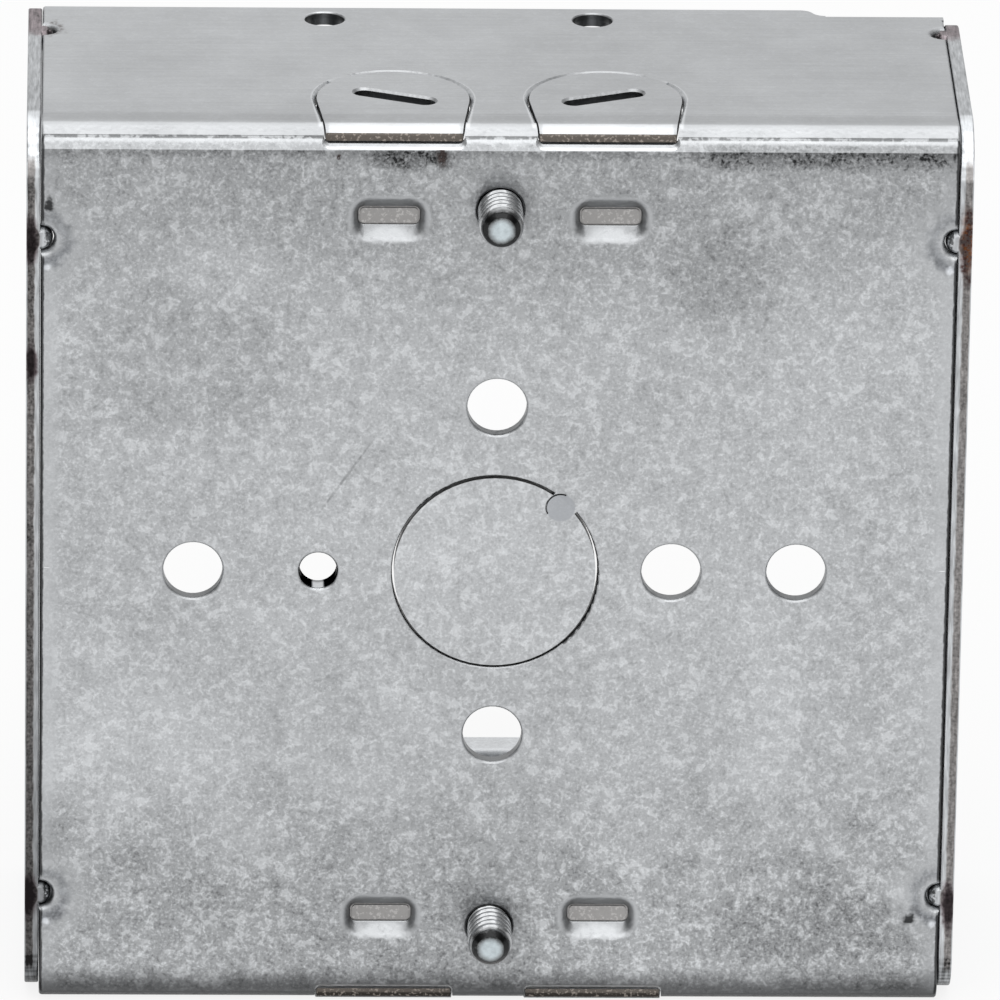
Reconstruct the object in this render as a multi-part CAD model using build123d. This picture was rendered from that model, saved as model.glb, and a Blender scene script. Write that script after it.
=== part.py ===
from build123d import *
import os
from math import acos, atan2, cos, degrees, hypot, radians, sin

# Square steel outlet box, lengths in millimetres and angles in degrees.
# The origin is the middle of the back's outer face: +X right and +Z up seen from behind, +Y into the box.

# Overall sizes and sheet
box_height = 101.6
box_depth = 38.1
wrap_width = 98.1
sheet = 1.5
bend_inside = 0.9
plate_gap = 0.06
edge_roll = 0.35
bend_crease_angle = 36.0
bend_crease_radius = 0.3
bend_crease_depth = 0.05
overshoot = 0.6
tolerance = 0.01

# Round holes in the back
wall_hole_diameter = 6.4
wall_hole_roll = 0.4
wall_hole_reach = 32.55
centre_hole_reach = 19.05
ground_hole_diameter = 4.05
ground_hole_roll = 0.5
collar_wall = 1.1
collar_height = 0.9

# Knockouts: a slit ring with one tie, whose round coined spot overlaps the ring
knockout_diameter = 22.2
knockout_slit = 0.22
knockout_roll = 0.3
tie_angle = 47.0
tie_spot_diameter = 3.2
tie_spot_inset = 0.85
tie_groove = 0.14
tie_groove_depth = 0.3
tie_groove_arc = 140.0
plate_knockout_spacing = 31.8
plate_knockout_offset = 0.55

# Oblong recesses pressed into the back, with a narrow groove round each floor
recess_reach_x = 11.85
recess_inset = 10.2
recess_floor_length = 6.6
recess_floor_height = 2.1
recess_floor_corner = 0.65
recess_mouth_corner = 2.4
recess_end_draft = 0.8
recess_draft = 1.6
recess_depth = 1.3
recess_roll = 1.8
recess_groove = 0.22
recess_groove_depth = 0.2

# Pry-out tabs across the bends, with a screwdriver slot in each
tab_reach_x = 11.4
tab_radius = 8.2
tab_head_inset = 1.6
tab_taper = 1.8
tab_end_angle = 43.0
tab_slit = 0.2
tab_roll = 0.35
tab_tie_angle = 47.0
tab_tie_diameter = 3.0
tab_notch_corner = 0.7
tab_lip = 0.5
tab_floor_gap = 0.24
lower_tab_proud = 0.2
pry_slot_length = 9.2
pry_slot_width = 2.2
pry_slot_tilt = 22.7
pry_slot_offset_x = 0.2
pry_slot_offset_y = 0.6
pry_slot_roll = 0.25

# Bracket holes in the top and bottom walls
bracket_hole_diameter = 4.3
bracket_hole_roll = 0.25
bracket_hole_inset = 3.4
bracket_hole_near = 10.75
bracket_hole_far = 18.4

# Weld spots: half-round notches in the wrap's edges, with the plates pressed into them
weld_drop = 12.7
weld_inset = 7.0
weld_notch_radius = 1.4
weld_notch_roll = 0.85
weld_bump_gap = 0.03
weld_bump_sunk = 1.1

# Cover ears, folded in from the top wall at one end and the bottom wall at the other
ear_hole_diameter = 3.5
ear_hole_inset_x = 4.6
ear_hole_inset_z = 6.35
ear_width = 12.85
ear_length = 13.0
ear_corner = 3.0
ear_step_run = 2.7
ear_step_drop = 1.75

# Side plates
plate_corner = 5.4
plate_square_corner = 0.8
plate_foot_gap = 0.4
plate_roll = 0.2

# Clamp screws
screw_inset = 9.1
screw_diameter = 4.83
screw_clearance = 0.05
screw_tip_out = 6.3
screw_tip_bevel = 0.715
screw_tip_length = 0.9
screw_hole_roll = 0.3
head_diameter = 9.0
head_height = 2.9
head_crown = 1.0
drive_slot_width = 1.2
drive_slot_depth = 1.3
drive_cross_length = 5.0

# Cable clamps
clamp_sheet = 1.5
clamp_bend_inside = 0.7
cable_gap = 6.7
clamp_strap = 21.0
clamp_flange = 4.1
clamp_lip = 3.3
clamp_corner = 4.0
clamp_lip_corner = 2.0
clamp_screw_clearance = 0.1
foot_width = 7.0
foot_wall_gap = 1.3
foot_drop = 3.0
saddle_rise = 2.0
saddle_head_gap = 0.4

# Places worked out from the sizes above
half_height = box_height / 2
half_wrap = wrap_width / 2
wall_inner = half_height - sheet
bend_radius = bend_inside + sheet
plate_inner = half_wrap + plate_gap
plate_outer = plate_inner + sheet
plate_low = plate_foot_gap - half_height
plate_knockout_depth = box_depth / 2 + plate_knockout_offset
recess_reach_z = half_height - recess_inset
tab_centre_depth = tab_radius + tab_head_inset
tab_end_width = 2 * tab_radius - tab_taper
tab_end = bend_radius * (1 - sin(radians(tab_end_angle)))
tab_floor = wall_inner - tab_floor_gap
weld_height = half_height - weld_drop
weld_depth = box_depth - weld_inset
ear_start = half_wrap - ear_width
screw_reach_z = half_height - screw_inset
screw_hole_diameter = screw_diameter + 2 * screw_clearance
clamp_bend = clamp_bend_inside + clamp_sheet
clamp_under = sheet + cable_gap
clamp_top = clamp_under + clamp_sheet
foot_face = wall_inner - foot_wall_gap
clamp_outer_edge = foot_face - clamp_bend
clamp_inner_edge = clamp_outer_edge - clamp_strap
saddle_width = 2 * (tab_reach_x - head_diameter / 2 - saddle_head_gap)
clamp_half_width = tab_reach_x + saddle_width / 2 + clamp_flange
back_plane = Plane.XZ
diagonal = sin(radians(45))


def span(x0, x1, y0, y1, z0, z1):
    """A block between two corners."""
    middle = ((x0 + x1) / 2, (y0 + y1) / 2, (z0 + z1) / 2)
    return Pos(*middle) * Box(x1 - x0, y1 - y0, z1 - z0)


def edges_at(part, **where):
    """The edges whose middle has the given coordinates, on either side of the origin."""
    found = part.edges()
    for axis, value in where.items():
        found = [e for e in found if abs(abs(getattr(e.center(), axis)) - value) < tolerance]
    return found


def rolled_section(inner, outer, roll, depth):
    """Half section of a punched hole or ring slit along +Y, its outer rim rolled in."""
    shoulder = outer + roll
    middle = (shoulder - roll * diagonal, roll - roll * diagonal)
    rim = ThreePointArc((shoulder, 0), middle, (outer, roll))
    rest = Polyline(
        (outer, roll),
        (outer, depth),
        (inner, depth),
        (inner, -overshoot),
        (shoulder, -overshoot),
        (shoulder, 0),
    )
    return make_face([rim, *rest.edges()])


def rolled_hole(diameter, roll, depth):
    """Cutter for a punched hole along +Y."""
    return revolve(rolled_section(0, diameter / 2, roll, depth + overshoot), Axis.Y)


def ring_slit(diameter, width, roll, depth, gap_angle, half_gap):
    """Cutter for a ring slit along +Y, left whole for half_gap degrees each side of one angle."""
    section = rolled_section(diameter / 2 - width, diameter / 2, roll, depth)
    ring = revolve(section, Axis.Y, revolution_arc=360 - 2 * half_gap)
    return Rot(0, half_gap - gap_angle, 0) * ring


def knockout():
    """Cutter for a knockout along +Y: its slit, and the groove round part of its tie spot."""
    slit = ring_slit(
        knockout_diameter,
        knockout_slit,
        knockout_roll,
        sheet + overshoot,
        tie_angle,
        degrees(tie_spot_diameter / knockout_diameter),
    )
    spot_reach = knockout_diameter / 2 - tie_spot_inset
    place = Pos(spot_reach * cos(radians(tie_angle)), 0, spot_reach * sin(radians(tie_angle)))
    groove = ring_slit(
        tie_spot_diameter,
        tie_groove,
        tie_groove / 2,
        tie_groove_depth,
        tie_angle - 90,
        180 - tie_groove_arc / 2,
    )
    return slit + place * groove


def slot_loft(length, height, spread, depth):
    """Oblong plug along +Y, wider at its mouth by the spread on each side."""
    mouth = back_plane * SlotOverall(length + 2 * spread, height + 2 * spread)
    floor = back_plane.offset(-depth) * SlotOverall(length, height)
    return loft([mouth.face(), floor.face()])


def collar(hole_diameter):
    """Metal drawn inwards round a tapped hole, along +Y."""
    ring = back_plane.offset(-sheet / 2) * Circle(hole_diameter / 2 + collar_wall)
    return extrude(ring, -(sheet / 2 + collar_height))


def folded_sheet():
    """Back, top and bottom walls as one folded sheet."""
    block = span(-half_wrap, half_wrap, 0, box_depth, -half_height, half_height)
    block = fillet(edges_at(block, Y=0, Z=half_height), bend_radius)
    rim = [e for e in edges_at(block, X=half_wrap) if e.center().Y < box_depth - tolerance]
    block = fillet(rim, edge_roll)
    hollow = span(
        -half_wrap - overshoot,
        half_wrap + overshoot,
        sheet,
        box_depth + overshoot,
        -wall_inner,
        wall_inner,
    )
    hollow = fillet(edges_at(hollow, Y=sheet, Z=wall_inner), bend_inside)
    reach = bend_radius + bend_crease_radius - bend_crease_depth
    crease_y = bend_radius - reach * cos(radians(bend_crease_angle))
    crease_z = half_height - bend_radius + reach * sin(radians(bend_crease_angle))
    line = Rot(0, 90, 0) * Cylinder(bend_crease_radius, wrap_width + 2 * overshoot)
    for z in (-crease_z, crease_z):
        block = block - Pos(0, crease_y, z) * line
    return block - hollow


def ear_cut():
    """What the top wall loses at the ear, with the smooth step beside it."""
    start = (ear_start - ear_step_run, box_depth)
    middle = (ear_start - ear_step_run / 2, box_depth - ear_step_drop / 2)
    end = (ear_start, box_depth - ear_step_drop)
    crest = TangentArc(start, middle, tangent=(1, 0))
    hollow = TangentArc(middle, end, tangent=crest % 1)
    rest = Polyline(
        end,
        (ear_start, box_depth - bend_radius),
        (half_wrap + overshoot, box_depth - bend_radius),
        (half_wrap + overshoot, box_depth + overshoot),
        (start[0], box_depth + overshoot),
        start,
    )
    outline = make_face([crest, hollow, *rest.edges()])
    return Pos(0, 0, wall_inner - overshoot) * extrude(outline, sheet + 2 * overshoot)


def ear():
    """Cover ear: the top wall's end folded down across the opening, with its tapped hole."""
    fold = box_depth - bend_radius
    low = half_height - ear_length
    block = span(ear_start, half_wrap, fold - overshoot, box_depth, low, half_height)
    block = fillet(edges_at(block, Y=box_depth, Z=half_height), bend_radius)
    hollow = span(
        ear_start - overshoot,
        half_wrap + overshoot,
        fold - 2 * overshoot,
        box_depth - sheet,
        low - overshoot,
        wall_inner,
    )
    hollow = fillet(edges_at(hollow, Y=box_depth - sheet, Z=wall_inner), bend_inside)
    tongue = block - hollow
    tongue = fillet(edges_at(tongue, X=ear_start, Z=low), ear_corner)
    place = Pos(half_wrap - ear_hole_inset_x, box_depth, half_height - ear_hole_inset_z)
    hole = Rot(90, 0, 0) * Cylinder(ear_hole_diameter / 2, 2 * (sheet + overshoot))
    return tongue - place * hole


def tab_outline(grow, end):
    """Plan of a pry-out tab: a round head with tangent sides that close in to the end."""
    radius = tab_radius + grow
    half_end = tab_end_width / 2 + grow
    base = atan2(end - tab_centre_depth, half_end)
    turn = base + acos(radius / hypot(half_end, end - tab_centre_depth))
    side = (radius * cos(turn), tab_centre_depth + radius * sin(turn))
    other = (-side[0], side[1])
    head = ThreePointArc(side, (0, tab_centre_depth + radius), other)
    rest = Polyline(other, (-half_end, end), (half_end, end), side)
    return make_face([head, *rest.edges()])


def tab_mouth(grow):
    """Opening of a pry-out tab seen from behind, with round lower corners."""
    low = tab_floor - grow
    high = half_height + overshoot
    width = tab_end_width + 2 * (tab_slit + grow)
    mouth = Pos(0, (low + high) / 2) * Rectangle(width, high - low)
    return fillet(mouth.vertices().sort_by(Axis.Y)[:2], tab_notch_corner + grow)


def tab_tools():
    """Cutter and keeper for one pry-out tab at x = 0 of the top wall, its tie to the +X side."""
    clear_height = half_height + overshoot - tab_floor
    tie_place = Pos(
        tab_radius * cos(radians(tab_tie_angle)),
        tab_centre_depth + tab_radius * sin(radians(tab_tie_angle)),
        half_height,
    )
    tie = tie_place * Cylinder(tab_tie_diameter / 2, 2 * (sheet + overshoot))
    slit = Pos(0, 0, tab_floor) * extrude(tab_outline(tab_slit, tab_end), clear_height)
    lip_low = Pos(0, 0, half_height - tab_roll) * tab_outline(tab_slit, bend_radius)
    lip_high = Pos(0, 0, half_height) * tab_outline(tab_slit + tab_roll, bend_radius)
    lip = loft([lip_low.face(), lip_high.face()], ruled=True)
    notch = extrude(back_plane * tab_mouth(0), -tab_end)
    rim = [back_plane * tab_mouth(tab_lip), back_plane.offset(-tab_lip) * tab_mouth(0)]
    notch = notch + loft([outline.face() for outline in rim], ruled=True)
    keep_floor = tab_floor + tab_slit
    keep = Pos(0, 0, keep_floor) * extrude(tab_outline(0, tab_end), clear_height)
    return slit + lip - tie + notch, keep


def pry_slot():
    """Screwdriver slot of the tab at +X, through the top wall."""
    mouth = slot_loft(pry_slot_length, pry_slot_width, pry_slot_roll, pry_slot_roll)
    slot = back_plane * SlotOverall(pry_slot_length, pry_slot_width)
    through = extrude(slot, -(sheet + overshoot))
    turned = Rot(-90, 0, 0) * Rot(0, -pry_slot_tilt, 0) * (mouth + through)
    x = tab_reach_x - pry_slot_offset_x
    y = tab_centre_depth + pry_slot_offset_y
    return Pos(x, y, half_height) * turned


def wrap_with_tabs(wrap):
    """The wrap with its four pry-out tabs, the lower ones standing a little proud."""
    cutter, keep = tab_tools()
    for side in (1, -1):
        for up in (1, -1):
            hand = Pos(tab_reach_x, 0, 0)
            tools = [hand * cutter, hand * keep, pry_slot()]
            if side < 0:
                tools = [mirror(t, Plane.YZ) for t in tools]
            if up < 0:
                tools = [mirror(t, Plane.XY) for t in tools]
            proud = 0 if up > 0 else -lower_tab_proud
            tab = Pos(0, 0, proud) * (wrap & tools[1])
            wrap = wrap - tools[0] + tab - Pos(0, 0, proud) * tools[2]
    return wrap


def recess_plug(grow, depth):
    """Oblong plug along +Y with sloping sides, its floor larger than the recess's by grow all round."""
    length = recess_floor_length + 2 * grow
    height = recess_floor_height + 2 * grow
    mouth = RectangleRounded(
        length + 2 * recess_end_draft, height + 2 * recess_draft, recess_mouth_corner + grow
    )
    floor = RectangleRounded(length, height, recess_floor_corner + grow)
    return loft([(back_plane * mouth).face(), (back_plane.offset(-depth) * floor).face()])


def recess_mouths(wrap):
    """The rim edges of the four recesses on the back's outer face."""
    reach = recess_floor_length / 2 + recess_end_draft + tolerance
    rise = recess_floor_height / 2 + recess_draft + tolerance
    found = []
    for edge in edges_at(wrap, Y=0):
        near_x = abs(abs(edge.center().X) - recess_reach_x) < reach
        near_z = abs(abs(edge.center().Z) - recess_reach_z) < rise
        if near_x and near_z:
            found.append(edge)
    return found


def wrap_with_recesses(wrap):
    """The wrap with its four recesses, the bosses behind them and the grooves round their floors."""
    recess = recess_plug(0, recess_depth)
    boss = recess_plug(sheet / 2, recess_depth + sheet / 2)
    floor = RectangleRounded(recess_floor_length, recess_floor_height, recess_floor_corner)
    island = RectangleRounded(
        recess_floor_length - 2 * recess_groove,
        recess_floor_height - 2 * recess_groove,
        recess_floor_corner - recess_groove,
    )
    groove = extrude(back_plane.offset(-recess_depth) * (floor - island), -recess_groove_depth)
    places = [(x, z) for x in (-recess_reach_x, recess_reach_x) for z in (-recess_reach_z, recess_reach_z)]
    for x, z in places:
        wrap = wrap + Pos(x, sheet / 2, z) * boss - Pos(x, 0, z) * recess
    wrap = fillet(recess_mouths(wrap), recess_roll)
    for x, z in places:
        wrap = wrap - Pos(x, 0, z) * groove
    return wrap


def wrap_with_back_holes(wrap):
    """The wrap with its tapped holes and their collars, its wall holes and its knockout."""
    through = sheet + collar_height
    tapped = [(0, z, screw_hole_diameter, screw_hole_roll) for z in (-screw_reach_z, screw_reach_z)]
    tapped += [(-centre_hole_reach, 0, ground_hole_diameter, ground_hole_roll)]
    for x, z, diameter, roll in tapped:
        wrap = wrap + Pos(x, 0, z) * collar(diameter)
        wrap = wrap - Pos(x, 0, z) * rolled_hole(diameter, roll, through)

    wall_hole = rolled_hole(wall_hole_diameter, wall_hole_roll, sheet)
    places = [(wall_hole_reach, 0), (-wall_hole_reach, 0), (centre_hole_reach, 0)]
    places += [(0, centre_hole_reach), (0, -centre_hole_reach)]
    for x, z in places:
        wrap = wrap - Pos(x, 0, z) * wall_hole
    return wrap - knockout()


def back_wrap():
    """The folded sheet with everything that is pressed, punched and folded in it."""
    wrap = folded_sheet()
    for turn in (0, 180):
        wrap = wrap - Rot(0, turn, 0) * ear_cut() + Rot(0, turn, 0) * ear()
    wrap = wrap_with_tabs(wrap)
    wrap = wrap_with_recesses(wrap)
    wrap = wrap_with_back_holes(wrap)

    bracket_hole = rolled_hole(bracket_hole_diameter, bracket_hole_roll, sheet)
    bracket_depth = box_depth - bracket_hole_inset
    for turn in (0, 180):
        for x in (bracket_hole_near, -bracket_hole_far):
            place = Rot(0, turn, 0) * Pos(x, bracket_depth, half_height) * Rot(-90, 0, 0)
            wrap = wrap - place * bracket_hole

    notch = rolled_hole(2 * weld_notch_radius, weld_notch_roll, sheet)
    for x in (-half_wrap, half_wrap):
        for up in (1, -1):
            wrap = wrap - Pos(x, 0, up * weld_height) * notch
            place = Pos(x, weld_depth, up * half_height) * Rot(-90 * up, 0, 0)
            wrap = wrap - place * notch
    return wrap


def side_plate(side):
    """Flat plate with round back corners and a round corner beside its ear; side is +1 or -1."""
    plate = span(plate_inner, plate_outer, 0, box_depth, plate_low, half_height)
    corners = edges_at(plate, X=plate_inner + sheet / 2)
    corners = [e for e in corners if abs(e.length - sheet) < tolerance]
    round_ones = []
    for edge in corners:
        at_back = edge.center().Y < box_depth / 2
        at_ear = edge.center().Z * side > 0
        if at_back or at_ear:
            round_ones.append(edge)
    plate = fillet(round_ones, plate_corner)
    square_z = plate_low if side > 0 else half_height
    square_one = edges_at(plate, X=plate_inner + sheet / 2, Y=box_depth, Z=abs(square_z))
    plate = fillet(square_one, plate_square_corner)
    plate = fillet(plate.faces().filter_by(Axis.X).edges(), plate_roll)

    bump_radius = weld_notch_radius - weld_bump_gap
    bump_low = plate_inner - bump_radius - overshoot
    bump_room = span(bump_low, plate_inner + sheet / 2, 0, box_depth, plate_low, half_height)
    for up in (1, -1):
        bump_z = up * (half_height - weld_bump_sunk)
        for y, z in ((weld_bump_sunk, up * weld_height), (weld_depth, bump_z)):
            plate = plate + (Pos(plate_inner, y, z) * Sphere(bump_radius) & bump_room)
    slit = Rot(0, 0, 90) * knockout()
    for z in (-plate_knockout_spacing / 2, plate_knockout_spacing / 2):
        plate = plate - Pos(plate_outer, plate_knockout_depth, z) * slit
    return plate if side > 0 else mirror(plate, Plane.YZ)


def clamp_strap_and_lip():
    """Flat strap of the upper cable clamp with its turned-up inner edge."""
    wide = clamp_half_width
    lip_top = clamp_top + clamp_lip
    lip_back = clamp_inner_edge + clamp_sheet
    strap = span(-wide, wide, clamp_under, clamp_top, clamp_inner_edge, clamp_outer_edge)
    strap = fillet(edges_at(strap, X=wide, Z=clamp_outer_edge), clamp_corner)
    lip = span(-wide, wide, clamp_under, lip_top, clamp_inner_edge, lip_back)
    lip = fillet(edges_at(lip, X=wide, Y=lip_top), clamp_lip_corner)
    strap = strap + lip
    strap = fillet(edges_at(strap, Y=clamp_under, Z=clamp_inner_edge), clamp_bend)
    return fillet(edges_at(strap, Y=clamp_top, Z=lip_back), clamp_bend_inside)


def clamp_foot():
    """Tongue of the upper cable clamp, bent down beside the top wall."""
    wide = foot_width / 2
    foot_low = clamp_under - foot_drop
    foot_back = foot_face - clamp_sheet
    tongue = span(-wide, wide, clamp_under, clamp_top, screw_reach_z, foot_face)
    tongue = tongue + span(-wide, wide, foot_low, clamp_top, foot_back, foot_face)
    tongue = fillet(edges_at(tongue, Y=clamp_top, Z=foot_face), clamp_bend)
    return fillet(edges_at(tongue, Y=clamp_under, Z=foot_back), clamp_bend_inside)


def cable_clamp():
    """Upper cable clamp: a strap with a turned-up inner edge, two cable saddles and a foot."""
    strap = clamp_strap_and_lip() + clamp_foot()
    saddle_outside = ((saddle_width / 2) ** 2 + saddle_rise**2) / (2 * saddle_rise)
    saddle_axis = clamp_top + saddle_rise - saddle_outside
    middle = (clamp_outer_edge + clamp_inner_edge) / 2
    above = span(
        -clamp_half_width,
        clamp_half_width,
        clamp_top - clamp_sheet / 2,
        clamp_top + saddle_rise + overshoot,
        clamp_inner_edge + clamp_bend,
        clamp_outer_edge,
    )
    for x in (-tab_reach_x, tab_reach_x):
        arch = Pos(x, saddle_axis, middle) * Cylinder(saddle_outside, clamp_strap)
        strap = strap + (arch & above)
    tunnel = Cylinder(saddle_outside - clamp_sheet, clamp_strap + 2 * overshoot)
    for x in (-tab_reach_x, tab_reach_x):
        strap = strap - Pos(x, saddle_axis, middle) * tunnel
    hole_radius = screw_diameter / 2 + clamp_screw_clearance
    hole = Rot(90, 0, 0) * Cylinder(hole_radius, 2 * (clamp_sheet + overshoot))
    return strap - Pos(0, clamp_under, screw_reach_z) * hole


def clamp_screw():
    """Upper clamp screw: plain shank for the thread, bevelled tip and a slotted pan head."""
    shank = screw_diameter / 2
    head = head_diameter / 2
    top = clamp_top + head_height
    crown_cut = head_crown * (1 - diagonal)
    crown = ThreePointArc(
        (head, top - head_crown), (head - crown_cut, top - crown_cut), (head - head_crown, top)
    )
    rest = Polyline(
        (head - head_crown, top),
        (0, top),
        (0, -screw_tip_out),
        (shank - screw_tip_bevel, -screw_tip_out),
        (shank, screw_tip_length - screw_tip_out),
        (shank, clamp_top),
        (head, clamp_top),
        (head, top - head_crown),
    )
    screw = revolve(make_face([crown, *rest.edges()]), Axis.Y)
    half_slot = drive_slot_width / 2
    half_cross = drive_cross_length / 2
    low = top - drive_slot_depth
    screw = screw - span(-head, head, low, top + overshoot, -half_slot, half_slot)
    screw = screw - span(-half_slot, half_slot, low, top + overshoot, -half_cross, half_cross)
    return Pos(0, 0, screw_reach_z) * screw


clamp = cable_clamp()
screw = clamp_screw()
half_turn = Rot(0, 180, 0)
nodes = {
    "back_wrap": back_wrap(),
    "left_side_plate": side_plate(-1),
    "right_side_plate": side_plate(1),
    "upper_cable_clamp": clamp,
    "lower_cable_clamp": half_turn * clamp,
    "upper_clamp_screw": screw,
    "lower_clamp_screw": half_turn * screw,
}
os.makedirs("parts", exist_ok=True)
for name, shape in nodes.items():
    export_step(shape, f"parts/{name}.step")
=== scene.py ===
from math import cos, pi, radians, sin, tau

import bmesh
import bpy
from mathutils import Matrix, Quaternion, Vector


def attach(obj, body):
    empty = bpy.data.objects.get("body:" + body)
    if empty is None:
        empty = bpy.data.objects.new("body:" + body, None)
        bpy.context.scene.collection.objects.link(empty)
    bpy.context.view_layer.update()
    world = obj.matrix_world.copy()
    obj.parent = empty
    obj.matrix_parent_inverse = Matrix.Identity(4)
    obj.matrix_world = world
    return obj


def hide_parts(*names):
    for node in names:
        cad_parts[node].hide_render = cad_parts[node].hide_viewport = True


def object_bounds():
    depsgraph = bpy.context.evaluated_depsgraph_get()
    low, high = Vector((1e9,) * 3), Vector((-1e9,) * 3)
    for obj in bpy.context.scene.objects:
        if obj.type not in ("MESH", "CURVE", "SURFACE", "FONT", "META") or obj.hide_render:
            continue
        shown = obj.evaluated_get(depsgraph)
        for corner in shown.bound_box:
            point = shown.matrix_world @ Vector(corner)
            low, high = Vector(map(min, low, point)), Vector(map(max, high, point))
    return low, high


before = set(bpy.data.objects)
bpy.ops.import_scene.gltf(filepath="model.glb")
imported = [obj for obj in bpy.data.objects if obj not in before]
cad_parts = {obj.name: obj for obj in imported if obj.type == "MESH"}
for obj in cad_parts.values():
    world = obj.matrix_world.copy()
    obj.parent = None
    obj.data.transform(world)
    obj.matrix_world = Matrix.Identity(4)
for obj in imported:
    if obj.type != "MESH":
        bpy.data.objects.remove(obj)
cad_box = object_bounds()

MM = 0.001

# Camera, as the photograph's perspective gives it
AIM = Vector((0.45, 0.0, 8.37)) * MM
DISTANCE = 1552.9 * MM
ELEVATION = radians(21.851)
SWING = radians(1.773)
ROLL = radians(0.913)
LENS = 519.18
SENSOR = 36.0
CLIP_END = 20.0

# Light levels, where 1 is white, and the floor's size in metres
HORIZON = 1.0
ZENITH = 1.4
SIDES = 0.25
FLOOR_COLOUR = (0.9, 0.9, 0.9, 1.0)
FLOOR_GLOW = 0.85
FLOOR_SIZE = 8.0

# Places on the box, in millimetres
SHEET = 1.5
HALF_HEIGHT = 50.8
HALF_WRAP = 49.05
PLATE_INNER = 49.11
RIM_X = PLATE_INNER + 0.9
BEND = 2.4
TAB_X = 11.4
TAB_Y = 9.8
TAB_RADIUS = 8.2
TAB_TAPER = 0.092
RECESS_X = 11.85
RECESS_Z = 40.6
WELD_Z = 38.1
WELD_Y = 31.1
SCREW_Z = 41.7
GROUND_X = -19.05
GROUND_REACH = 2.5
KNOCKOUT_RADIUS = 11.1
TIE_X = 6.99
TIE_Z = 7.5
TIE_RADIUS = 1.5

# Zones of the wrap's finish, in millimetres; a pair is a range or runs from none of a shade to all of it
EDGE_ZONE = 46.5
BACK_ZONE = 46.0
WALL_ZONE = (2.7, 36.9)
BORE_Y = (0.1, 2.4)
TAB_END_Y = (0.6, 0.95)
TAB_END_Z = 49.0
RECESS_FLOOR_Y = (1.1, 1.6)
CALM_SIDE = (46.6, 48.0)
GLINT_X = 48.3
GLINT_DROP = 3.1
UPPER_SHADE = (24.0, 44.0)
LOWER_SHADE = (-20.0, -42.0)
FOOT_SHADE = (-46.0, -49.3)
DULL_STRIP_Y = (2.7, 5.0)
DARK_UNDER_BEND = (47.2, 48.0)
SMUDGE_HEIGHT = (46.0, 47.2)
SMUDGE_SIDE = (19.0, 24.0)

# The same round the bend, as angles from the back on, in radians
SECOND_BAND = (0.6, 0.54)
SPECK_LINE = (0.53, 0.7)
FIRST_BAND = (0.68, 0.76)
FIRST_BAND_END = (1.57, 1.38)

# The same on the plates
CORNER_Z = (45.0, 45.6)
CORNER_Y = (5.8, 5.0)
SEARED_Z = (49.0, 50.0)
SEARED_Y = (28.0, 30.5)
LEFT_FOOT = (20.0, -40.0)

# Marks, each with its x, its z and its reach along both, in millimetres; ANY is a reach without end
ANY = 1000.0
PALE_PATCHES = ((-29, 35, 6, 4.5), (-38, -22, 11, 9), (30, -19, 3.5, 9))
DULL_PATCHES = ((24, 34, 7, 6), (34, -42, 12, 5), (-34, 24, 13, 9))
SMUDGE = (-9.6, 47.5, 4.6, 1.3)
SOOT_SPOTS = ((-48.2, 42.2, 0.6, 0.9), (45.8, -40.6, 0.7, 0.5))
RUST_SPOTS = ((-6.3, 47.8, 0.65, 1.1), (-17.3, 47.7, 0.25, 0.35))
BURNT_PITS = ((-RIM_X, 24.0, 0.6, 2.3), (RIM_X, -39.2, 0.8, 3.0))
BURNT_WELDS = ((-RIM_X - 0.2, 38.0, 0.9, 2.7), (-RIM_X - 0.2, -38.2, 0.9, 2.8))
RIM_RUST = (RIM_X + 0.1, 38.2, 0.95, 4.6)

# The dark scratch and the rust on the top wall
SCRATCH_PLACE = (-16.25, 0.0, 10.85)
SCRATCH_REACH = (0.16, ANY, 5.3)
SCRATCH_LEAN = radians(34.1)
WALL_RUST_PLACE = (-48.2, 31.0, HALF_HEIGHT)
WALL_RUST_REACH = (1.5, 2.4, ANY)

# Colours of the finish
WHITE = (1.0, 1.0, 1.0, 1.0)
BLACK = (0.0, 0.0, 0.0, 1.0)
WRAP_HEAT = (0.5, 0.52, 0.55, 1.0)
WRAP_RUST = (0.06, 0.036, 0.03, 1.0)
SHEARED = (0.5, 0.43, 0.37, 1.0)
PLATE_HEAT = (0.49, 0.515, 0.55, 1.0)
FRACTURE = (0.47, 0.445, 0.435, 1.0)
BURNT = (0.42, 0.34, 0.36, 1.0)
DARK_RUST = (0.085, 0.045, 0.04, 1.0)
BRIGHT_RUST = (0.24, 0.09, 0.035, 1.0)
SCREW_TIP = (0.58, 0.65, 0.68, 1.0)

# Shift of the noises, so that no face lies on a plane where they are weak
GRAIN_SHIFT = (37.3, 11.7, 71.9)

# Sockets of the mix node that carry colours
MIX_FIRST = 6
MIX_SECOND = 7
MIX_RESULT = 2

# Clamp screws: a No. 10-24 thread, in millimetres
PITCH = 25.4 / 24
CREST = 2.415
ROOT = 1.95
TIP = -6.3
TIP_RADIUS = 1.5
TAPER_RADIUS = 1.8
TAPER = 0.4
HEAD_UNDERSIDE = 9.7
HEAD_OVERLAP = 0.3
HEAD_SLIVER = 0.01

# The thread's flank as shares of half a pitch, its mesh, and the angle over which an edge is sharp
FLANK_START = 0.2
FLANK_LENGTH = 0.5
SPOKES = 64
RINGS_PER_PITCH = 12
SHARP_ANGLE = radians(35)


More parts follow.
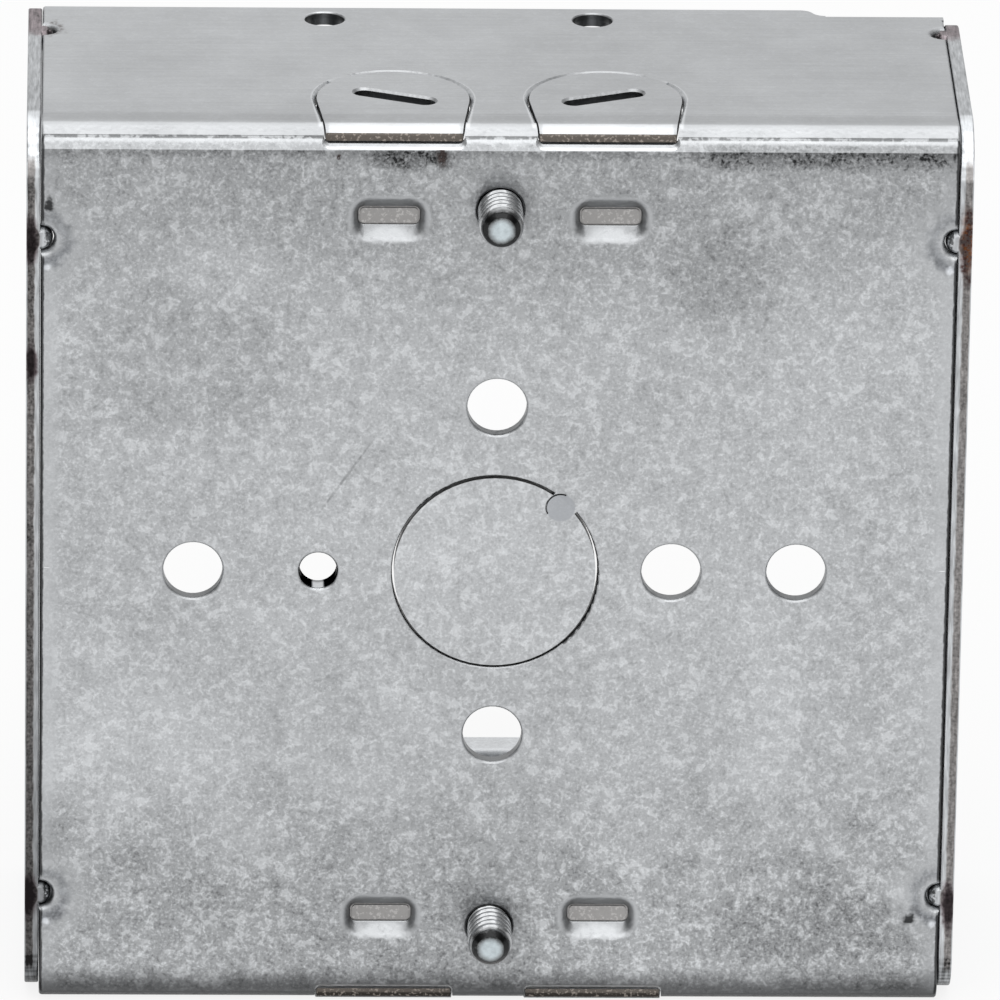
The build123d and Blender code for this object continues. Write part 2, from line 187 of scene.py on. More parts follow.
class Field:
    """A number that varies over a surface: a node's output times a gain, plus an offset."""

    def __init__(self, graph, socket, gain=1.0, offset=0.0):
        self.graph = graph
        self.socket = socket
        self.gain = gain
        self.offset = offset

    def plain(self):
        """The socket that gives the number itself."""
        if self.gain != 1.0 or self.offset != 0.0:
            self.socket = self.graph.calc("MULTIPLY_ADD", self.socket, self.gain, self.offset).socket
            self.gain = 1.0
            self.offset = 0.0
        return self.socket

    def __add__(self, other):
        if not isinstance(other, Field):
            return Field(self.graph, self.socket, self.gain, self.offset + other)
        both = self.graph.calc("MULTIPLY_ADD", other.socket, other.gain / self.gain, self.socket)
        return Field(self.graph, both.socket, self.gain, self.offset + other.offset)

    def __mul__(self, other):
        if not isinstance(other, Field):
            return Field(self.graph, self.socket, self.gain * other, self.offset * other)
        gain = 1.0
        factors = []
        for factor in (self, other):
            if factor.offset == 0.0:
                gain = gain * factor.gain
                factors.append(factor.socket)
            else:
                factors.append(factor)
        return self.graph.calc("MULTIPLY", *factors) * gain

    def __neg__(self):
        return self * -1.0

    def __sub__(self, other):
        return self + -other

    def __rsub__(self, other):
        return -self + other

    def __abs__(self):
        return self.graph.calc("ABSOLUTE", self)

    __radd__ = __add__


def sway(noise, amount):
    """A noise that swings about 0 instead of about a half."""
    return (noise - 0.5) * amount


def grey(level, warm=0.0):
    """A grey, bluish where warm is under 0 and brownish over 0."""
    return (level * (1 + warm), level, level * (1 - warm), 1.0)


class Graph:
    """A node tree and the means to build it."""

    def __init__(self, tree):
        self.tree = tree
        tree.nodes.clear()

    def node(self, kind, **settings):
        made = self.tree.nodes.new(kind)
        for key, value in settings.items():
            setattr(made, key, value)
        return made

    def feed(self, socket, value):
        """Links a field or an output to an input, or sets the input to a plain value."""
        if isinstance(value, Field):
            value = value.plain()
        if isinstance(value, bpy.types.NodeSocket):
            self.tree.links.new(value, socket)
        else:
            socket.default_value = value

    def split(self, vector):
        made = self.node("ShaderNodeSeparateXYZ")
        self.feed(made.inputs[0], vector)
        return [Field(self, out) for out in made.outputs]

    def combined(self, x, y, z):
        made = self.node("ShaderNodeCombineXYZ")
        for socket, value in zip(made.inputs, (x, y, z)):
            self.feed(socket, value)
        return made.outputs[0]

    def calc(self, operation, *values):
        made = self.node("ShaderNodeMath", operation=operation)
        for socket, value in zip(made.inputs, values):
            self.feed(socket, value)
        return Field(self, made.outputs[0])

    def most(self, a, b):
        return self.calc("MAXIMUM", a, b)

    def least(self, a, b):
        return self.calc("MINIMUM", a, b)

    def norm(self, vector):
        made = self.node("ShaderNodeVectorMath", operation="LENGTH")
        self.feed(made.inputs[0], vector)
        return Field(self, made.outputs["Value"])

    def length(self, a, b):
        return self.norm(self.combined(a, b, 0.0))

    def rise(self, value, low, high):
        """0 below low, 1 above high, smooth between; low may be the larger."""
        made = self.node("ShaderNodeMapRange", interpolation_type="SMOOTHSTEP")
        self.feed(made.inputs["Value"], value.socket)
        made.inputs["From Min"].default_value = (low - value.offset) / value.gain
        made.inputs["From Max"].default_value = (high - value.offset) / value.gain
        return Field(self, made.outputs[0])

    def band(self, value, low, high, soft):
        """1 between low and high, falling to 0 within soft of each."""
        return self.rise(value, low - soft, low + soft) * self.rise(value, high + soft, high - soft)

    def blend(self, first, second, share):
        made = self.node("ShaderNodeMix", data_type="RGBA")
        self.feed(made.inputs["Factor"], share)
        self.feed(made.inputs[MIX_FIRST], first)
        self.feed(made.inputs[MIX_SECOND], second)
        return made.outputs[MIX_RESULT]

    def shade(self, colour, tone):
        """A colour times a tone."""
        made = self.node("ShaderNodeVectorMath", operation="SCALE")
        self.feed(made.inputs[0], colour[:3] if isinstance(colour, tuple) else colour)
        self.feed(made.inputs["Scale"], tone)
        return made.outputs[0]

    def bump(self, height, distance):
        made = self.node("ShaderNodeBump")
        self.feed(made.inputs["Height"], height)
        made.inputs["Distance"].default_value = distance * MM
        made.inputs["Strength"].default_value = 1.0
        return made.outputs[0]

    def show(self, shader, kind="ShaderNodeOutputMaterial"):
        out = self.node(kind)
        self.feed(out.inputs["Surface"], shader.outputs[0])


class Surface(Graph):
    """A metal's material, with its surface point in millimetres and its normal at hand."""

    def __init__(self, name):
        self.material = bpy.data.materials.new(name)
        self.material.use_nodes = True
        super().__init__(self.material.node_tree)
        place = self.node("ShaderNodeTexCoord")
        scale = self.node("ShaderNodeVectorMath", operation="SCALE")
        self.feed(scale.inputs[0], place.outputs["Object"])
        scale.inputs["Scale"].default_value = 1 / MM
        self.point = scale.outputs[0]
        self.x, self.y, self.z = self.split(self.point)
        self.nx, self.ny, self.nz = self.split(place.outputs["Normal"])
        shift = self.node("ShaderNodeVectorMath", operation="ADD")
        self.feed(shift.inputs[0], self.point)
        shift.inputs[1].default_value = GRAIN_SHIFT
        self.grain = shift.outputs[0]
        self.rags = self.noise(0.9, 2.0, 0.65)
        self.crumbs = self.noise(2.8, 1.0, 0.65)

    def noise(self, scale, detail=2.0, rough=0.5, at=None, swirl=0.0):
        made = self.node("ShaderNodeTexNoise")
        self.feed(made.inputs["Vector"], at or self.grain)
        made.inputs["Scale"].default_value = scale
        made.inputs["Detail"].default_value = detail
        made.inputs["Roughness"].default_value = rough
        made.inputs["Distortion"].default_value = swirl
        return Field(self, made.outputs["Fac"])

    def stretched(self, x, y, z):
        """The noises' coordinates, scaled along each axis."""
        made = self.node("ShaderNodeVectorMath", operation="MULTIPLY")
        self.feed(made.inputs[0], self.grain)
        made.inputs[1].default_value = (x, y, z)
        return made.outputs[0]

    def frayed(self, value, amount):
        """A value that wavers from place to place, for ragged edges."""
        return value + sway(self.rags, amount)

    def far(self, middle, reach):
        """The distance from an oval's middle, as a share of the oval's reach."""
        made = self.node("ShaderNodeVectorMath", operation="MULTIPLY_ADD")
        self.feed(made.inputs[0], self.point)
        made.inputs[1].default_value = [1 / along for along in reach]
        made.inputs[2].default_value = [-place / along for place, along in zip(middle, reach)]
        return self.norm(made.outputs[0])

    def far_leaning(self, middle, reach, lean):
        """The same for an oval that is turned about the Y axis."""
        made = self.node("ShaderNodeMapping", vector_type="TEXTURE")
        self.feed(made.inputs["Vector"], self.point)
        made.inputs["Location"].default_value = middle
        made.inputs["Rotation"].default_value = (0.0, lean, 0.0)
        made.inputs["Scale"].default_value = reach
        return self.norm(made.outputs[0])

    def within(self, far):
        """1 inside an oval and 0 outside, with a soft edge."""
        return self.rise(far, 1.3, 0.5)

    def ovals(self, ragged, *places):
        """1 inside any of several ragged ovals on the back, each given as x, z and its reach along both."""
        nearest = None
        for x, z, wide, tall in places:
            far = self.far((x, 0.0, z), (wide, ANY, tall))
            nearest = far if nearest is None else self.least(nearest, far)
        return self.within(self.frayed(nearest, ragged))

    def mottling(self):
        """Galvanised sheet's look: curled light and dark flakes, thin dark lines between them and flecks."""
        flakes = self.noise(0.9, 2.0, 0.7, swirl=0.4)
        mottle = self.rise(flakes, 0.53, 0.65) * 0.3 - self.rise(flakes, 0.45, 0.33) * 0.16
        mottle = mottle - self.rise(abs(flakes - 0.47), 0.03, 0.0) * 0.08
        return mottle + self.rise(self.crumbs, 0.55, 0.67) * 0.24 - self.rise(self.crumbs, 0.44, 0.32) * 0.15

    def shaded_in_gaps(self, tone, distance, clear, spared):
        """The tone with painted shade in gaps narrower than a distance, apart from the places given to be
        spared it.
        """
        made = self.node("ShaderNodeAmbientOcclusion", samples=1)
        made.inputs["Distance"].default_value = distance * MM
        openness = Field(self, made.outputs["AO"])
        open_air = self.most(self.rise(openness, 0.08, clear), spared)
        return tone * (0.22 + open_air * 0.78)

    def metal(self, colour, roughness, normal, edge=WHITE):
        """The finished material; edge is the tint of its reflections at grazing angles."""
        shader = self.node("ShaderNodeBsdfPrincipled", distribution="GGX")
        self.feed(shader.inputs["Base Color"], colour)
        self.feed(shader.inputs["Roughness"], roughness)
        shader.inputs["Metallic"].default_value = 1.0
        self.feed(shader.inputs["Specular Tint"], edge)
        self.feed(shader.inputs["Normal"], normal)
        self.show(shader)
        return self.material


class WrapSurface(Surface):
    """Mottled galvanised sheet with painted highlights on the bend, painted shade in gaps and recesses,
    smudges, soot, weld marks and sheared edges.
    """

    def __init__(self):
        super().__init__("galvanised_wrap")
        self.side = abs(self.x)
        self.high = abs(self.z)
        self.top = self.rise(self.z, -5.0, 5.0)
        self.off_tab = abs(self.side - TAB_X)
        self.patches = self.noise(0.16, 2.0, 0.6)
        self.mottle = self.mottling()
        self.find_faces()
        self.find_sheared_faces()
        self.find_ground_hole()
        self.find_welds()
        self.find_recesses()

    def above(self, height):
        """How far a point lies above the nearer of two marks, at a height over and under the middle."""
        return self.z - (self.top * 2.0 - 1.0) * height

    def find_faces(self):
        """The back, the walls, the bend between them and the angle round it, from the back on."""
        out_y = BEND - self.y
        out_z = self.high - (HALF_HEIGHT - BEND)
        self.turn = self.calc("ARCTAN2", out_z, out_y)
        self.upright = abs(self.nz)
        self.facing_back = self.rise(self.ny, -0.85, -0.98)
        self.back = self.facing_back * self.rise(self.y, 0.3, 0.1)
        outside = self.rise(self.high, HALF_HEIGHT - 0.6, HALF_HEIGHT - 0.2)
        self.wall = self.rise(self.upright, 0.85, 0.98) * outside
        in_corner = self.rise(self.least(out_y, out_z), 0.0, 0.1)
        self.bend = in_corner * self.rise(self.length(out_y, out_z), BEND - 0.25, BEND - 0.1)
        self.second_band = self.bend * self.rise(self.turn, *SECOND_BAND)

    def find_sheared_faces(self):
        """The walls and lips of holes, the tabs' ends and the recesses' floors."""
        inner = self.rise(self.side, EDGE_ZONE + 0.5, EDGE_ZONE - 0.5)
        in_back = inner * self.rise(self.high, BACK_ZONE + 0.5, BACK_ZONE - 0.5)
        in_wall = inner * self.band(self.y, *WALL_ZONE, 0.15)
        self.bore = self.rise(abs(self.ny), 0.5, 0.2) * self.band(self.y, *BORE_Y, 0.08) * in_back
        through = self.band(self.high, HALF_HEIGHT - SHEET, HALF_HEIGHT - 0.2, 0.05)
        self.wall_bore = self.rise(self.upright, 0.6, 0.3) * through * in_wall
        outside = self.rise(self.high, HALF_HEIGHT - 0.6, HALF_HEIGHT - 0.4)
        self.wall_lip = self.band(self.upright, 0.5, 0.88, 0.06) * outside * in_wall
        at_tab = self.rise(self.high, TAB_END_Z - 0.1, TAB_END_Z + 0.1)
        self.tab_end = self.facing_back * self.band(self.y, *TAB_END_Y, 0.05) * at_tab
        self.floor = self.facing_back * self.band(self.y, *RECESS_FLOOR_Y, 0.05) * in_back

    def find_ground_hole(self):
        """The wall of the drawn ground hole, painted dark, and the painted highlight low in it."""
        off_x = self.x - GROUND_X
        near = self.rise(self.length(off_x, self.z), GROUND_REACH + 0.2, GROUND_REACH)
        self.drawn = near * self.rise(self.y, 0.1, 0.3) * self.rise(self.ny, 0.6, 0.3)
        self.painted_highlight = self.rise(-self.z - abs(off_x) * 2.2, 0.2, 1.0)
        self.painted_dark_wall = self.drawn * (1.0 - self.painted_highlight)

    def find_welds(self):
        """The side welds' rim, halo and painted glint, the calm margin, the seam's painted shade and the
        tie's spot.
        """
        away = self.frayed(self.length(self.side - HALF_WRAP, self.high - WELD_Z), 1.6)
        above = self.above(WELD_Z)
        self.margin = self.most(self.rise(self.side, *CALM_SIDE), self.rise(away, 7.0, 3.5))
        self.rim = self.band(away, 1.2, 2.2, 0.2) * self.rise(self.y, 1.0, 0.6)
        low_side = 0.7 + self.rise(above, 0.5, -2.5) * 0.6
        self.halo = self.band(away, 2.3, 3.3, 0.6) * self.back * low_side
        # A painted glint on the back below each side weld
        from_glint = self.frayed(self.length(self.side - GLINT_X, above + GLINT_DROP), 0.8)
        self.painted_glint = self.back * self.rise(from_glint, 0.6, 0.1)
        beside_plate = self.rise(self.frayed(self.side, 0.3), HALF_WRAP - 0.43, HALF_WRAP - 0.25)
        self.painted_seam_shade = beside_plate * self.rise(self.y, 0.6, 0.4) * self.rise(away, 1.5, 2.4)
        from_tie = self.length(self.x - TIE_X, self.z - TIE_Z)
        self.tie_spot = self.rise(from_tie, TIE_RADIUS + 0.15, TIE_RADIUS) * self.back

    def find_recesses(self):
        """The recesses' hollows, their sloping sides, which get painted shade, and the bright patch below
        each floor, which is spared it.
        """
        off_x = self.side - RECESS_X
        above = self.above(RECESS_Z)
        self.hollow = self.rise(self.length(off_x * 0.7, above), 5.0, 4.5)
        self.dish = self.hollow * self.rise(self.y, 0.1, 0.75) * self.rise(self.y, 1.28, 1.22)
        self.patch = self.rise(self.frayed(self.length(off_x * 0.4, above + 2.0), 0.4), 1.25, 0.5)

    def galvanised_back(self):
        """Mottling, calm beside the edges and welds, over broad shades: painted shade near the top and
        bottom, and painted light on the inside faces.
        """
        clouds = self.noise(0.035, 1.0, 0.6)
        calm = self.most(self.margin * 0.65, self.tie_spot)
        spangle = self.most(self.back, self.second_band * 0.7) * (1.0 - calm)
        # Painted light on the inside faces, which get little light inside the box
        inside = self.rise(self.y, 2.6, 3.2) * self.rise(self.high, HALF_HEIGHT - 0.6, HALF_HEIGHT - 0.9)
        tone = 1.0 + sway(clouds, 0.3) + sway(self.patches, 0.25)
        tone = tone + self.mottle * (0.25 + spangle * 0.75)
        tone = tone + inside * 0.25 - self.back * 0.01

        # Painted shade near the top and the bottom of the back
        drift = self.z + sway(self.patches, 22.0)
        upper = self.rise(drift, *UPPER_SHADE)
        lower = self.rise(drift, *LOWER_SHADE)
        pale = self.ovals(0.7, *PALE_PATCHES)
        dull = self.ovals(0.8, *DULL_PATCHES)
        knockout = self.rise(self.length(self.x, self.z), KNOCKOUT_RADIUS + 0.1, KNOCKOUT_RADIUS - 0.1)
        shades = pale * 0.12 + knockout * 0.06 - dull * 0.15 - upper * 0.23 - lower * 0.2
        return tone + self.back * shades + self.mottle * spangle * lower * 0.3

    def rolled_walls(self, tone):
        """Rolling lines, a dull strip beside the bend and painted highlights on the lips beside the tabs'
        slits.
        """
        lines = self.noise(1.0, 1.0, 0.6, at=self.stretched(0.05, 2.6, 0.05))
        strip = self.wall * self.band(self.y + sway(lines, 1.2), *DULL_STRIP_Y, 0.5)
        round_end = self.length(self.off_tab, self.most(self.y - TAB_Y, 0.0))
        from_slit = round_end + self.most(TAB_Y - self.y, 0.0) * TAB_TAPER - TAB_RADIUS
        # Painted highlights on the lips beside the tabs' slits
        lip_highlights = self.wall * self.band(from_slit, 0.2, 0.62, 0.14) * self.rise(self.y, 17.0, 13.0)
        return tone + self.wall * (0.06 + sway(lines, 0.18)) - strip * 0.14 + lip_highlights * 0.5

    def bend_painted_light_and_dirt(self, tone):
        """Painted highlights on two bands, dark specks between them, a darker strip and smudges below, and
        painted shade over the foot.
        """
        specks = self.rise(self.rags, 0.46, 0.56)
        speck_line = self.bend * self.band(self.turn, *SPECK_LINE, 0.04) * (0.25 + specks * 0.75)
        first_band = self.bend * self.rise(self.turn, *FIRST_BAND) * self.rise(self.turn, *FIRST_BAND_END)
        at_tab = self.rise(self.off_tab, 7.2, 6.8)
        # Painted highlights on the two bands round the bend, strongest on the tabs
        first_highlight = first_band * (self.rise(self.turn, 0.85, 1.2) * 0.42 + at_tab * 0.4 - 0.08)
        second_highlight = self.second_band * (0.15 + self.rise(self.turn, 0.5, 0.2) * 0.6)

        height = self.frayed(self.high, 2.2)
        dark_under_bend = self.back * self.rise(height, *DARK_UNDER_BEND)
        right = self.rise(self.x + sway(self.patches, 14.0), *SMUDGE_SIDE)
        smudge = self.most(self.rise(height, *SMUDGE_HEIGHT) * right, self.ovals(0.9, SMUDGE) * 1.2)
        smudge = smudge * self.back * (0.45 + specks * 0.55)
        tone = tone + self.top * (first_highlight + second_highlight - speck_line * 0.6 - dark_under_bend * 0.2 - smudge * 0.5)
        # Painted shade over the foot, darker towards the bottom
        foot = self.rise(self.z + sway(self.patches, 2.0), *FOOT_SHADE) * self.most(self.back, self.bend)
        return tone * (1.0 - foot * 0.72)

    def marked(self, tone):
        """Weld marks with painted highlights, the tie's spot, soot, painted shade along the seams beside the
        plates, and a scratch.
        """
        # Painted highlights: slight on the weld rims, strong at each glint
        tone = tone + self.rim * 0.06 + self.back * self.margin * 0.05 + self.painted_glint * 0.9
        tone = tone - self.halo * 0.36 - self.tie_spot * 0.14
        # Soot spots, and painted shade along the seams beside the plates
        tone = tone * (1.0 - self.most(self.ovals(2.6, *SOOT_SPOTS) * 0.88, self.painted_seam_shade * 0.85))
        scratch = self.within(self.far_leaning(SCRATCH_PLACE, SCRATCH_REACH, SCRATCH_LEAN))
        return tone - self.back * scratch * 0.28

    def sheared(self, tone):
        """Painted shade on the recesses' sides, dark sheared faces with bright crumbs, holes' and slots'
        walls darker partly in their own colour and partly by painted shade, painted highlights on the slits'
        lips, and the ground hole's wall painted dark with a painted highlight low in it.
        """
        # Painted shade on the recesses' sides, apart from the bright patch below each floor
        tone = tone * (1.0 - self.dish * (1.0 - self.patch) * 0.3)
        # Holes' and slots' walls darker, partly their own bare colour and partly painted shade
        bore = self.bore * (1.0 - self.dish)
        tone = tone * (1.0 - self.tab_end * 0.68 - self.floor * 0.3 - bore * 0.5 - self.wall_bore * 0.8)
        tone = tone + (self.tab_end + self.floor * 0.5) * self.rise(self.crumbs, 0.55, 0.66) * 0.5
        # Painted highlights on the sides of the slits' lips
        tone = tone + self.wall_lip * (self.rise(self.off_tab, 5.5, 7.2) * 0.7 - 0.1)
        # Painted highlight low on the ground hole's wall; the rest of that wall painted dark
        glow = self.drawn * self.painted_highlight * self.rise(self.y, 2.1, 1.5)
        return tone * (1.0 - self.painted_dark_wall * 0.95) + glow * 0.8

    def rusted(self):
        """The share of rust: spots under the bend and one on the top wall."""
        on_wall = self.wall * self.within(self.frayed(self.far(WALL_RUST_PLACE, WALL_RUST_REACH), 2.0))
        rust = self.most(self.back * self.ovals(1.0, *RUST_SPOTS), on_wall * 0.7)
        return rust * self.rise(self.crumbs, 0.28, 0.46)

    def finished(self):
        """The material of all these marks together."""
        tone = self.bend_painted_light_and_dirt(self.rolled_walls(self.galvanised_back()))
        tone = self.sheared(self.marked(tone))
        spared = self.most(self.most(self.wall_lip, self.drawn), self.most(self.rim, self.hollow) * 0.8)
        # Painted shade in gaps under 2 mm, spared on the slits' lips, the drawn hole, the weld rims and the
        # recesses
        tone = self.shaded_in_gaps(tone, 2.0, 0.55, spared)
        colour = self.blend(grey(0.54, -0.025), WRAP_HEAT, self.most(self.halo, self.tie_spot) * 0.8)
        colour = self.blend(colour, SHEARED, self.most(self.tab_end * 0.85, self.floor * 0.3))
        colour = self.blend(colour, WRAP_RUST, self.rusted() * 0.9)
        colour = self.shade(colour, self.most(tone, 0.05))
        # The ground hole's wall reflects in black where it is painted dark: painted dark reflection
        edge = self.blend(WHITE, BLACK, self.painted_dark_wall)
        roughness = 0.4 + self.mottle * 0.3 - self.drawn * 0.15
        return self.metal(colour, roughness, self.bump(self.noise(2.0, 0.0), 0.03), edge)


def plate_material():
    """Galvanised plate with a sheared rim: a burnished strip inside and a rough dark band outside."""
    g = Surface("galvanised_plate")
    x, y, z = g.x, g.y, g.z
    high = abs(z)
    across = abs(x) - PLATE_INNER
    left = g.rise(x, 1.0, -1.0)
    top = g.rise(z, -5.0, 5.0)

    # Faces, rims and ends
    face = g.rise(abs(g.nx), 0.75, 0.95)
    edge = 1.0 - face
    back_rim = g.rise(g.ny, -0.9, -0.985) * edge
    corner = edge * g.rise(high, *CORNER_Z) * g.rise(y, *CORNER_Y)
    seared = edge * g.rise(high, *SEARED_Z) * g.rise(g.frayed(y, 3.0), *SEARED_Y)

    # Mottled faces
    clouds = g.noise(0.04, 1.0, 0.6)
    patches = g.noise(0.18, 2.0, 0.6)
    lines = g.noise(1.0, 1.0, 0.6, at=g.stretched(0.05, 2.2, 0.05))
    mottle = g.mottling()
    tone = 1.0 + sway(clouds, 0.3) + sway(patches, 0.3)
    tone = tone + (mottle * 0.8 + sway(lines, 0.2)) * face

    # Sheared rim: streaks, ridged corners with a painted highlight at the top and painted shade at the
    # bottom, the rough band, seared front ends and a darker left foot
    bulge = g.rise(abs(high - WELD_Z), 1.7, 0.4)
    fracture = back_rim * g.rise(g.frayed(across, 0.35) + bulge * 0.55, 0.5, 0.7)
    streaks = g.noise(1.0, 2.0, 0.65, at=g.stretched(3.0, 0.35, 0.35))
    ridges = g.noise(1.0, 0.0, at=g.stretched(0.3, 0.5, 2.4))
    tone = tone + edge * sway(streaks, 1.5) + corner * sway(ridges, 1.2)
    tone = tone * (1.0 - fracture * (0.42 + left * 0.2 + sway(patches, 0.5) - sway(g.crumbs, 0.9)))
    # Painted highlight on the top corners, painted shade on the bottom ones
    tone = tone + corner * (top - 0.45) - seared * (0.15 + g.crumbs * 0.5)
    tone = tone * (1.0 - g.rise(z, *LEFT_FOOT) * edge * left * 0.45)

    # Weld spots: a dark broken bump inside, heat marks round it
    from_back_weld = g.length(y, high - WELD_Z)
    from_wall_weld = g.length(y - WELD_Y, high - HALF_HEIGHT)
    from_weld = g.frayed(g.least(from_back_weld, from_wall_weld), 1.2)
    bump = g.rise(across, -0.05, -0.15)
    broken = bump * g.rise(across + sway(g.crumbs, 0.8), -0.45, -0.7)
    glint = broken * g.rise(g.crumbs, 0.56, 0.64)
    halo = g.band(from_weld, 2.3, 3.6, 0.5) * face
    tone = tone * (1.0 - broken * 0.75) + glint * 0.8 - halo * 0.12

    # Burnt pits and rust on the rim, and painted shade in narrow gaps
    burnt = g.most(g.ovals(1.2, *BURNT_PITS), g.ovals(0.8, *BURNT_WELDS)) * edge
    rust = g.ovals(1.7, RIM_RUST) * edge
    tone = g.shaded_in_gaps(tone * (1.0 - burnt * 0.85), 2.5, 0.6, bump * 0.7)

    colour = g.blend(grey(0.54, -0.03), FRACTURE, fracture * 0.9)
    colour = g.blend(colour, PLATE_HEAT, halo * 0.7)
    colour = g.blend(colour, BURNT, g.most(burnt, seared * 0.8))
    rusty = g.blend(DARK_RUST, BRIGHT_RUST, g.rise(g.rags, 0.44, 0.62))
    colour = g.blend(colour, rusty, rust * (0.75 + g.rise(g.crumbs, 0.4, 0.6) * 0.25))
    colour = g.shade(colour, g.most(tone, 0.04))
    roughness = 0.4 + mottle * 0.3 * face + fracture * 0.2
    return g.metal(colour, roughness, g.bump(g.noise(2.0, 0.0), 0.03))


def clamp_material():
    """Smooth galvanised strip with faint lines along it."""
    g = Surface("clamp_steel")
    clouds = g.noise(0.1, 1.0, 0.6)
    lines = g.noise(1.0, 2.0, 0.6, at=g.stretched(0.06, 2.4, 2.4))
    mottle = g.mottling()
    tone = 1.0 + sway(clouds, 0.25) + mottle * 0.5 + sway(lines, 0.25)
    colour = g.shade(grey(0.78, -0.025), tone)
    return g.metal(colour, 0.38 + mottle * 0.2, g.bump(lines, 0.02))


def screw_material():
    """Bright zinc plate, with painted shade in the thread's valleys, and dark on the cut tip's bevel."""
    g = Surface("zinc_screw")
    radius = g.length(g.x, abs(g.z) - SCREW_Z)
    spots = g.noise(1.2, 3.0, 0.65)
    tip = g.rise(g.ny, -0.9, -0.98) * g.rise(g.y, TIP + 0.3, TIP + 0.1)
    shank = g.rise(g.y, HEAD_UNDERSIDE + 0.1, HEAD_UNDERSIDE - 0.1) * (1.0 - tip)
    valley = shank * g.rise(radius, ROOT + 0.35, ROOT + 0.1)
    bevel = shank * g.rise(g.y, TIP + 0.8, TIP + 0.4)
    # Painted shade in the thread's valleys
    tone = 1.0 + sway(spots, 0.9) - valley * 0.6 - bevel * 0.4
    colour = g.blend(grey(0.47, -0.02), SCREW_TIP, tip)
    colour = g.shade(colour, g.most(tone, 0.06))
    roughness = 0.18 + sway(spots, 0.3) + tip * 0.2
    return g.metal(colour, roughness, g.bump(spots, 0.04))


def thread_radius(along, angle):
    """The thread's radius at a place along the screw's axis: flat crests and roots, sloping flanks."""
    phase = (along / PITCH - angle / tau) % 1.0
    from_root = abs(phase - 0.5) * 2.0
    share = min(max((from_root - FLANK_START) / FLANK_LENGTH, 0.0), 1.0)
    bevel = min(TIP_RADIUS + along - TIP, TAPER_RADIUS + (along - TIP) * TAPER)
    return min(ROOT + (CREST - ROOT) * share, bevel)


def screw_head(node):
    """The head of a CAD screw as a closed mesh of its own."""
    built = bmesh.new()
    built.from_mesh(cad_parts[node].data)
    everything = built.verts[:] + built.edges[:] + built.faces[:]
    cut = (0, (HEAD_UNDERSIDE - HEAD_SLIVER) * MM, 0)
    bmesh.ops.bisect_plane(built, geom=everything, plane_co=cut, plane_no=(0, 1, 0), clear_inner=True)
    bmesh.ops.holes_fill(built, edges=[e for e in built.edges if e.is_boundary])
    return built


def add_shank(built, turn):
    """Adds the threaded shank to a mesh, from its tip up into the head, half a turn round if turn is -1."""
    middle = Vector((0, 0, turn * SCREW_Z * MM))
    around = Quaternion((0, 1, 0), 0 if turn > 0 else pi)
    length = HEAD_UNDERSIDE + HEAD_OVERLAP - TIP
    count = round(length / PITCH * RINGS_PER_PITCH)
    rings = []
    for ring in range(count + 1):
        along = TIP + length * ring / count
        row = []
        for spoke in range(SPOKES):
            angle = tau * spoke / SPOKES
            reach = thread_radius(along, angle)
            place = Vector((reach * sin(angle), along, reach * cos(angle))) * MM
            row.append(built.verts.new(around @ place + middle))
        rings.append(row)
    for lower, upper in zip(rings, rings[1:]):
        for spoke in range(SPOKES):
            after = (spoke + 1) % SPOKES
            built.faces.new((lower[spoke], upper[spoke], upper[after], lower[after]))
    built.faces.new(rings[0])
    built.faces.new(rings[-1][::-1])


def threaded_screw(level, turn, material):
    """The screw with its thread, in place of the CAD's plain shank."""
    node = f"{level}_clamp_screw"
    built = screw_head(node)
    add_shank(built, turn)
    bmesh.ops.recalc_face_normals(built, faces=built.faces)
    mesh = bpy.data.meshes.new(f"{level}_threaded_screw")
    built.to_mesh(mesh)
    mesh.materials.append(material)
    mesh.set_sharp_from_angle(angle=SHARP_ANGLE)
    screw = bpy.data.objects.new(f"{level}_threaded_screw", mesh)
    bpy.context.scene.collection.objects.link(screw)
    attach(screw, f"{level}_screw")
    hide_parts(node)


def add_floor():
    """Pale floor under the box, with part of its colour as glow so that it stays white."""
    low = cad_box[0].z
    mesh = bpy.data.meshes.new("floor")
    half = FLOOR_SIZE / 2
    corners = [(-half, -half, low), (half, -half, low), (half, half, low), (-half, half, low)]
    mesh.from_pydata(corners, [], [(0, 1, 2, 3)])
    floor = bpy.data.objects.new("floor", mesh)
    bpy.context.scene.collection.objects.link(floor)
    material = bpy.data.materials.new("floor")
    material.use_nodes = True
    mesh.materials.append(material)
    g = Graph(material.node_tree)
    paint = g.node("ShaderNodeBsdfDiffuse")
    paint.inputs["Color"].default_value = FLOOR_COLOUR
    glow = g.node("ShaderNodeEmission")
    rays = g.node("ShaderNodeLightPath").outputs
    seen = g.most(g.most(rays["Is Camera Ray"], rays["Is Glossy Ray"]), rays["Is Transmission Ray"])
    mix = g.node("ShaderNodeMixShader")
    g.feed(mix.inputs[0], seen * FLOOR_GLOW)
    g.feed(mix.inputs[1], paint.outputs[0])
    g.feed(mix.inputs[2], glow.outputs[0])
    g.show(mix)


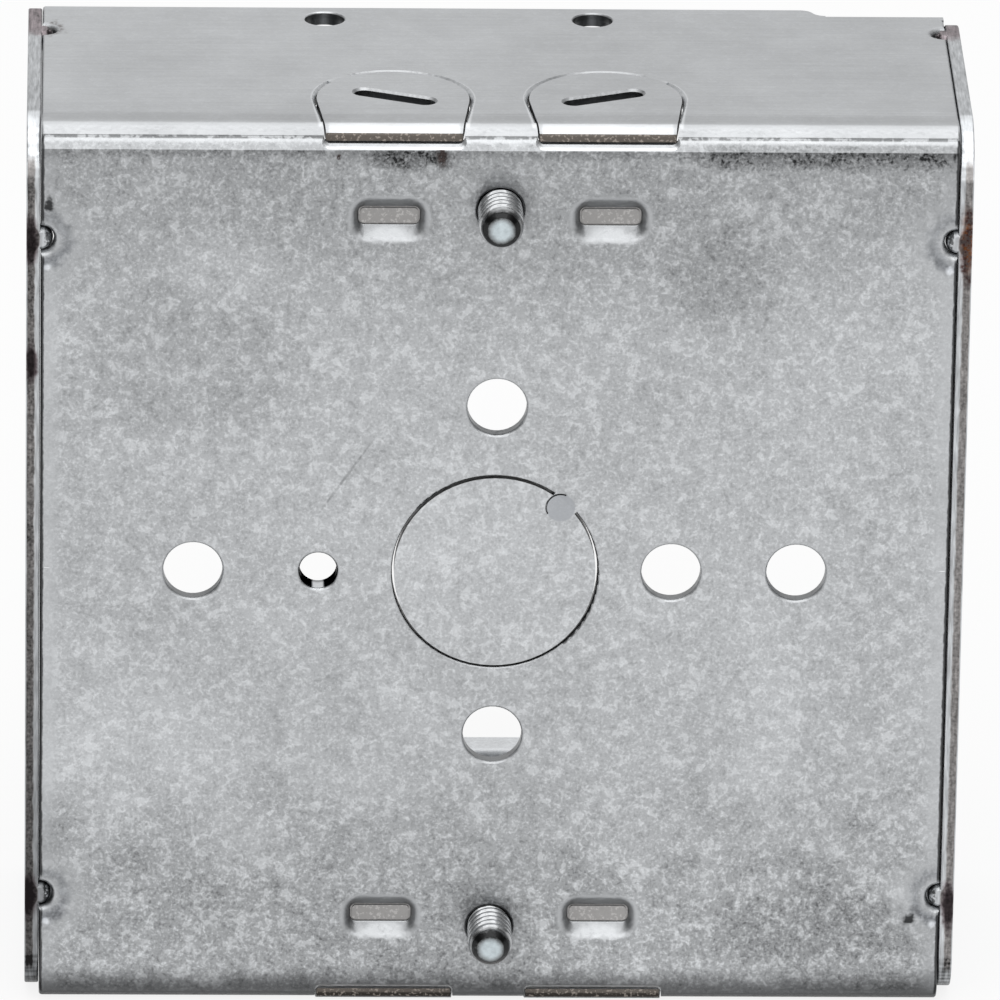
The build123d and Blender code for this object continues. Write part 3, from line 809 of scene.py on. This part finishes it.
def add_world():
    """White surroundings, brighter overhead and dimmer to the left and right above the horizon."""
    world = bpy.data.worlds.new("studio")
    bpy.context.scene.world = world
    world.use_nodes = True
    world.cycles.sampling_method = "NONE"
    g = Graph(world.node_tree)
    x, _, z = g.split(g.node("ShaderNodeTexCoord").outputs["Generated"])
    level = g.rise(z, 0.3, 0.9) * (ZENITH - HORIZON) + HORIZON
    aside = g.rise(abs(x), 0.35, 0.85) * g.rise(z, 0.05, 0.25)
    light = g.node("ShaderNodeBackground")
    g.feed(light.inputs["Strength"], level * (1.0 - aside * (1.0 - SIDES)))
    g.show(light, "ShaderNodeOutputWorld")


def add_softbox(name, place, width, height, power):
    """A soft lamp aimed at the box's middle; its place and size are in metres, its power in watts."""
    lamp = bpy.data.lights.new(name, "AREA")
    lamp.shape = "RECTANGLE"
    lamp.size = width
    lamp.size_y = height
    lamp.energy = power
    box = bpy.data.objects.new(name, lamp)
    box.location = place
    box.rotation_mode = "QUATERNION"
    box.rotation_quaternion = (-Vector(place)).to_track_quat("-Z", "Y")
    box.visible_camera = False
    bpy.context.scene.collection.objects.link(box)


def add_camera():
    """The photograph's camera."""
    lens = bpy.data.cameras.new("camera")
    lens.lens = LENS
    lens.sensor_width = SENSOR
    lens.sensor_fit = "HORIZONTAL"
    lens.clip_end = CLIP_END
    camera = bpy.data.objects.new("camera", lens)
    look = Vector((cos(ELEVATION) * sin(SWING), cos(ELEVATION) * cos(SWING), -sin(ELEVATION)))
    camera.location = AIM - look * DISTANCE
    camera.rotation_mode = "QUATERNION"
    camera.rotation_quaternion = look.to_track_quat("-Z", "Y") @ Quaternion((0, 0, 1), ROLL)
    bpy.context.scene.collection.objects.link(camera)
    bpy.context.scene.camera = camera


def dress(node, material):
    """Gives a CAD node its material."""
    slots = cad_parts[node].data.materials
    slots.clear()
    slots.append(material)


bpy.context.scene.view_settings.view_transform = "Standard"
add_floor()
add_world()
add_softbox("overhead", place=(0.0, -0.2, 0.85), width=0.9, height=0.5, power=1.4)
add_softbox("front", place=(0.0, -1.0, 0.75), width=1.4, height=0.6, power=3.0)
add_camera()

dress("back_wrap", WrapSurface().finished())
plates = plate_material()
clamps = clamp_material()
screws = screw_material()
for side in ("left", "right"):
    dress(f"{side}_side_plate", plates)
for level, turn in (("upper", 1), ("lower", -1)):
    dress(f"{level}_cable_clamp", clamps)
    threaded_screw(level, turn, screws)
